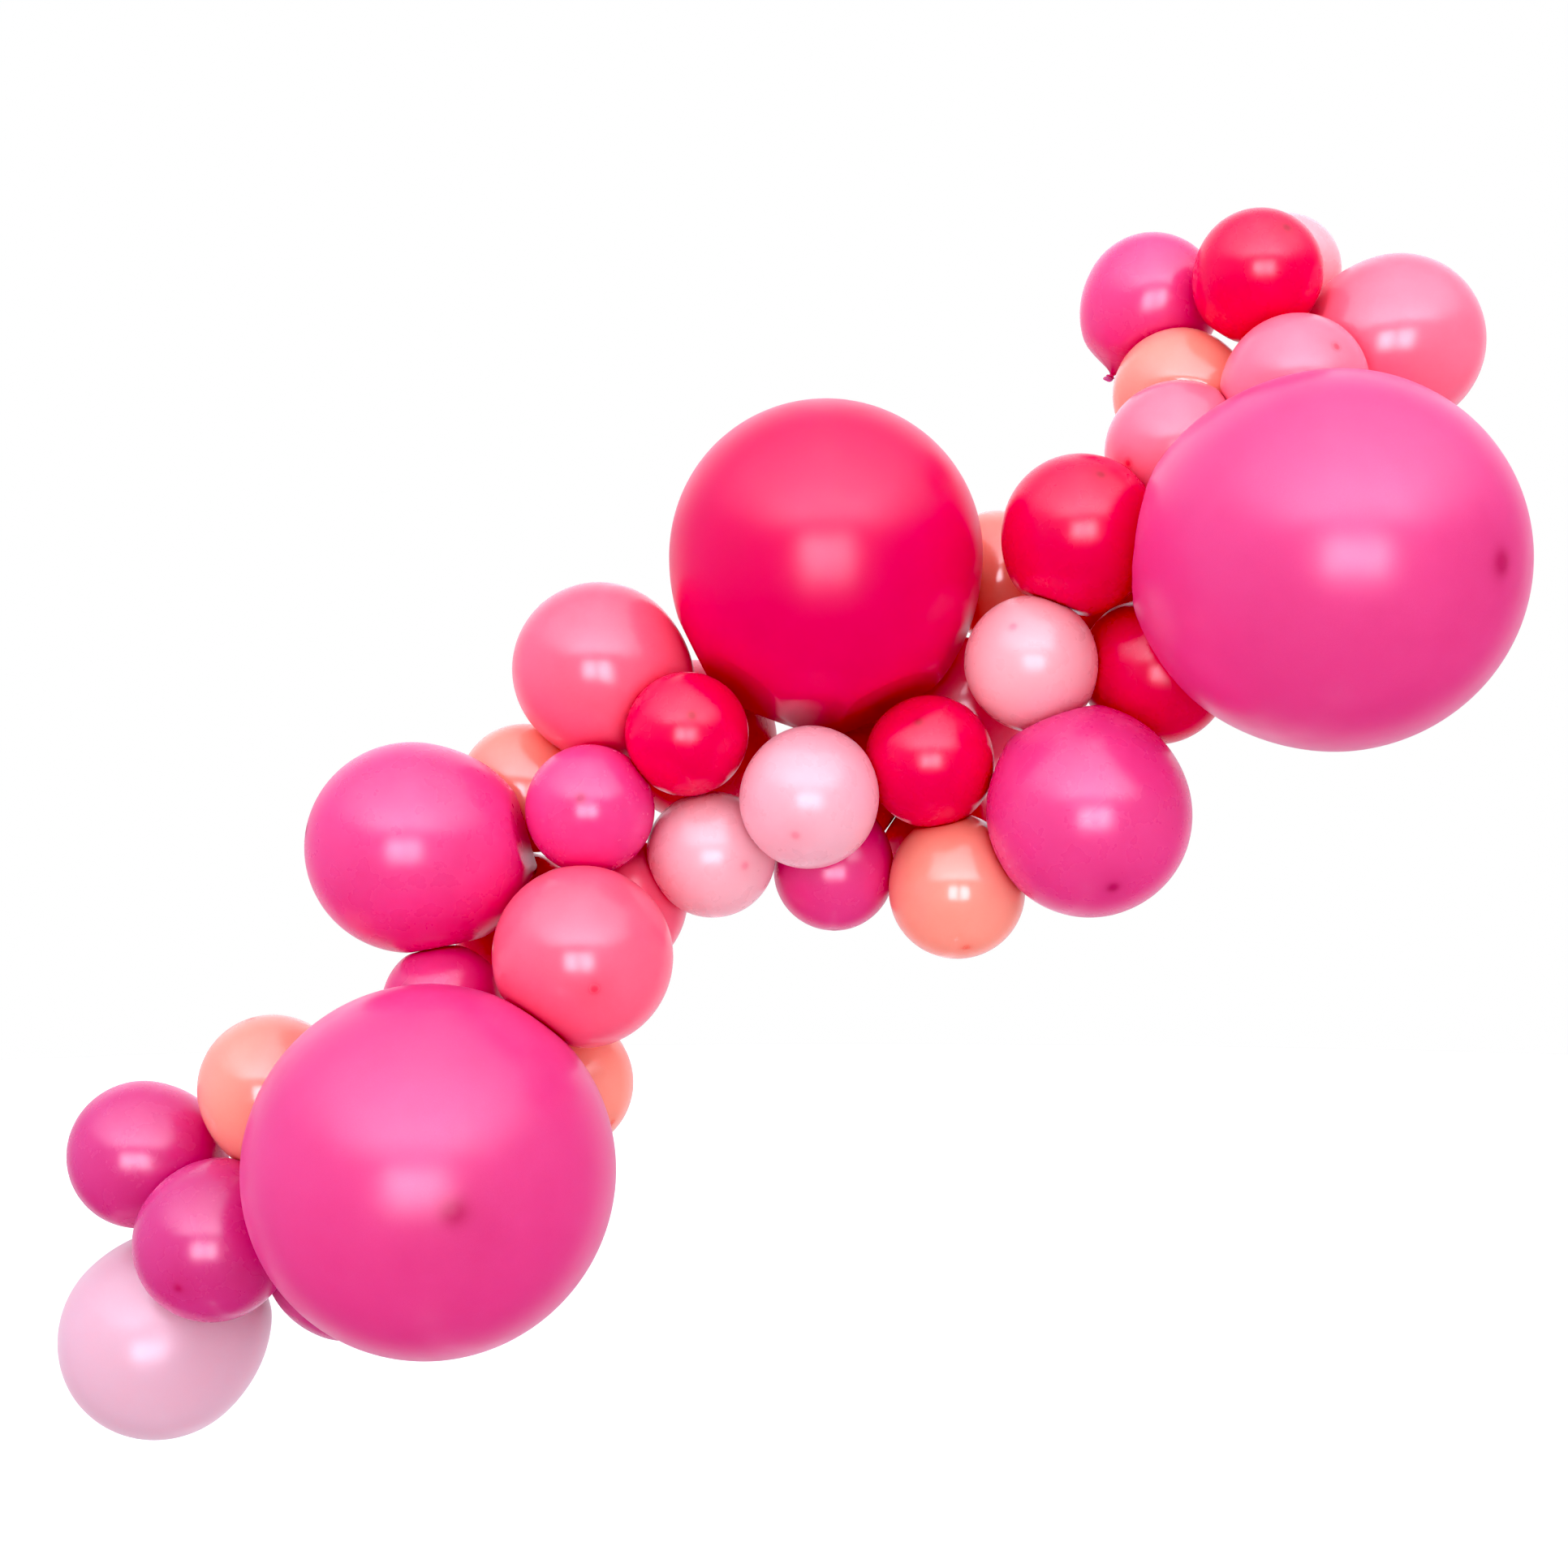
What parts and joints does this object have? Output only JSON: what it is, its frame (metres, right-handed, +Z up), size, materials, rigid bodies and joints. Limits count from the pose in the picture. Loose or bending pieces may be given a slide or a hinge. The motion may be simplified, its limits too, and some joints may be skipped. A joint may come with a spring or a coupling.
{
  "type": "balloon garland",
  "caption": "Hanging garland of round latex balloons in three sizes, knotted in clusters along a diagonal, in crimson, magenta, rose, coral and pale pink.",
  "frame": {"origin": "the upper tie, where the necks of the topmost cluster are knotted and the garland hangs from its hook", "axes": "+X to the right along the garland's width, +Y towards the wall behind it, +Z up"},
  "size_m": [1.4143, 0.5452, 1.2303],
  "materials": {
    "crimson_latex": "satin blown latex",
    "magenta_latex": "satin blown latex",
    "rose_latex": "satin blown latex",
    "coral_latex": "satin blown latex",
    "blush_latex": "satin blown latex"
  },
  "bodies": {
    "root": {"medium_blush_tail": "blush_latex", "tail_magenta_back": "magenta_latex", "tail_magenta_front": "magenta_latex", "tail_coral": "coral_latex", "tail_magenta_left": "magenta_latex", "giant_magenta_left": "magenta_latex", "lower_magenta": "magenta_latex", "lower_coral": "coral_latex", "lower_rose": "rose_latex", "medium_magenta_left": "magenta_latex", "left_crimson_back": "crimson_latex", "middle_blush_left": "blush_latex", "left_rose_back": "rose_latex", "left_magenta_front": "magenta_latex", "left_coral": "coral_latex", "left_rose": "rose_latex", "middle_crimson_left": "crimson_latex", "middle_crimson_back": "crimson_latex", "giant_crimson": "crimson_latex", "middle_blush_front": "blush_latex", "middle_magenta": "magenta_latex", "middle_crimson_low": "crimson_latex", "middle_crimson_right": "crimson_latex", "middle_coral": "coral_latex", "right_crimson_low": "crimson_latex", "medium_magenta_right": "magenta_latex", "right_blush": "blush_latex", "right_rose_back": "rose_latex", "right_crimson": "crimson_latex", "right_crimson_back": "crimson_latex", "right_crimson_front": "crimson_latex", "right_coral": "coral_latex", "giant_magenta_right": "magenta_latex", "upper_rose_left": "rose_latex", "upper_rose_front": "rose_latex", "upper_coral": "coral_latex", "top_crimson": "crimson_latex", "top_magenta": "magenta_latex", "top_rose": "rose_latex", "top_blush_back": "blush_latex"}
  },
  "joints": []
}
